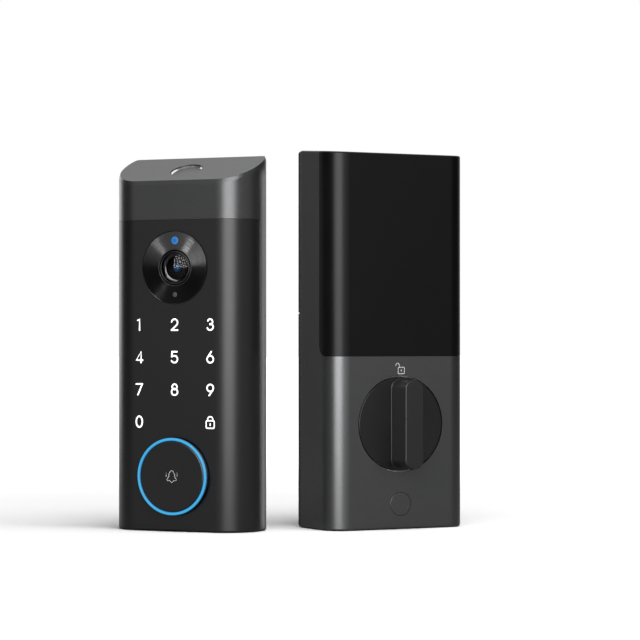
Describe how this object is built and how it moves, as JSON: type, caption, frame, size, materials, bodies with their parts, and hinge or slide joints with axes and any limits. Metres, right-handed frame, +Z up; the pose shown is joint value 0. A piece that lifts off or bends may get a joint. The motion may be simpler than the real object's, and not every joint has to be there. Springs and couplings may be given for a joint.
{
  "type": "keypad smart lock",
  "caption": "Two-part electronic door lock: outer half with camera, keypad, fingerprint pad and ringed doorbell button, inner half with thumb turn and sliding battery cover.",
  "frame": {"origin": "middle of the whole footprint, on the surface that both halves stand on", "axes": "+Z up, +X from the outer half towards the inner half, -Y towards the viewer; the outer half's front is turned 26 degrees from -Y towards -X and the inner half's 26 degrees towards +X"},
  "size_m": [0.1634, 0.0708, 0.18],
  "materials": {
    "gunmetal_shell": "fine satin gun-metal coat",
    "fascia_black": "smooth near-black moulding, soft sheen",
    "cover_black": "satin near-black moulding",
    "dark_metal": "dark spun and brushed metal",
    "black_plastic": "matt black",
    "lens_glass": "clear hard gloss over black",
    "blue_light": "translucent, lit blue",
    "circuit_board": "green solder mask",
    "steel": "plated steel",
    "dark_steel": "black-coated steel sheet",
    "brass": "machined",
    "nylon": "moulded nylon",
    "rubber": "moulded black rubber",
    "battery_case": "dark moulded case"
  },
  "bodies": {
    "exterior_half": {"exterior_housing": "gunmetal_shell", "front_fascia": "fascia_black", "camera_bezel": "dark_metal", "camera_barrel": "black_plastic", "camera_lens": "lens_glass", "camera_board": "circuit_board", "status_light_window": "blue_light", "light_sensor_window": "black_plastic", "doorbell_switch": "black_plastic", "doorbell_board": "circuit_board", "fingerprint_sensor": "gunmetal_shell", "fingerprint_trim_ring": "dark_metal", "keypad_touch_board": "circuit_board", "main_board": "circuit_board", "speaker": "black_plastic", "key_cylinder": "brass", "tailpiece_bush": "nylon", "exterior_back_plate": "steel", "exterior_gasket": "rubber", "mounting_post_left": "steel", "mounting_post_right": "steel", "exterior_cable_grommet": "rubber", "back_plate_screw_1": "steel", "back_plate_screw_2": "steel", "back_plate_screw_3": "steel", "back_plate_screw_4": "steel"},
    "doorbell": {"doorbell_button": "fascia_black", "doorbell_light_ring": "blue_light", "doorbell_clip": "steel"},
    "plug": {"key_plug": "brass", "plug_gear": "steel"},
    "tail": {"tailpiece": "steel", "tailpiece_gear": "steel"},
    "interior_half": {"interior_housing": "gunmetal_shell", "battery_pack": "battery_case", "battery_contacts": "brass", "mounting_plate": "dark_steel", "dial_bush": "nylon", "idler_pin": "steel", "drive_motor": "steel", "gear_chassis": "steel", "setup_switch": "black_plastic", "interior_board": "circuit_board", "interior_cable_grommet": "rubber", "housing_screw_left": "steel", "housing_screw_right": "steel", "housing_screw_bottom": "steel"},
    "cover": {"battery_cover": "cover_black"},
    "thumb_turn": {"thumb_turn_dial": "dark_metal", "thumb_turn_grip": "dark_metal", "drive_hub": "steel", "output_gear": "nylon", "hub_washer": "steel"},
    "idler": {"idler_gear": "nylon"},
    "pinion": {"motor_pinion": "brass"},
    "setup": {"setup_button": "gunmetal_shell"}
  },
  "joints": [
    {"name": "half_spacing", "type": "slide", "parent": "exterior_half", "child": "interior_half", "axis": [1, 0, 0], "range_m": [0, 0.1]},
    {"name": "doorbell_press", "type": "slide", "parent": "exterior_half", "child": "doorbell", "axis": [0.4384, 0.8988, 0], "range_m": [0, 0.0008], "stiffness_N_per_m": 1500, "springref_m": -0.0004},
    {"name": "key_turn", "type": "hinge", "parent": "exterior_half", "child": "plug", "pos_m": [-0.04797, -0.01074, 0.02], "axis": [0, 0, 1], "range_deg": [-90, 90]},
    {"name": "tailpiece_turn", "type": "hinge", "parent": "exterior_half", "child": "tail", "pos_m": [-0.04534, -0.00535, 0.044], "axis": [0.4384, 0.8988, 0], "range_deg": [-90, 90]},
    {"name": "cover_slide", "type": "slide", "parent": "interior_half", "child": "cover", "axis": [0, 0, 1], "range_m": [0, 0.105]},
    {"name": "thumb_turn_hinge", "type": "hinge", "parent": "interior_half", "child": "thumb_turn", "pos_m": [0.04529, 0.00142, 0.0497], "axis": [-0.4384, 0.8988, 0], "range_deg": [-90, 90]},
    {"name": "idler_spin", "type": "hinge", "parent": "interior_half", "child": "idler", "pos_m": [0.06055, 0.00886, 0.06667], "axis": [-0.4384, 0.8988, 0], "range_deg": [-270, 270]},
    {"name": "pinion_spin", "type": "hinge", "parent": "interior_half", "child": "pinion", "pos_m": [0.06903, 0.01522, 0.05793], "axis": [-0.4384, 0.8988, 0], "range_deg": [-648, 648]},
    {"name": "setup_press", "type": "slide", "parent": "interior_half", "child": "setup", "axis": [-0.4384, 0.8988, 0], "range_m": [0, 0.0006], "stiffness_N_per_m": 1500, "springref_m": -0.0004}
  ],
  "couplings": [
    {"joint": "tailpiece_turn", "follows": "key_turn", "ratio": 1},
    {"joint": "idler_spin", "follows": "thumb_turn_hinge", "ratio": -3},
    {"joint": "pinion_spin", "follows": "thumb_turn_hinge", "ratio": 7.2}
  ]
}
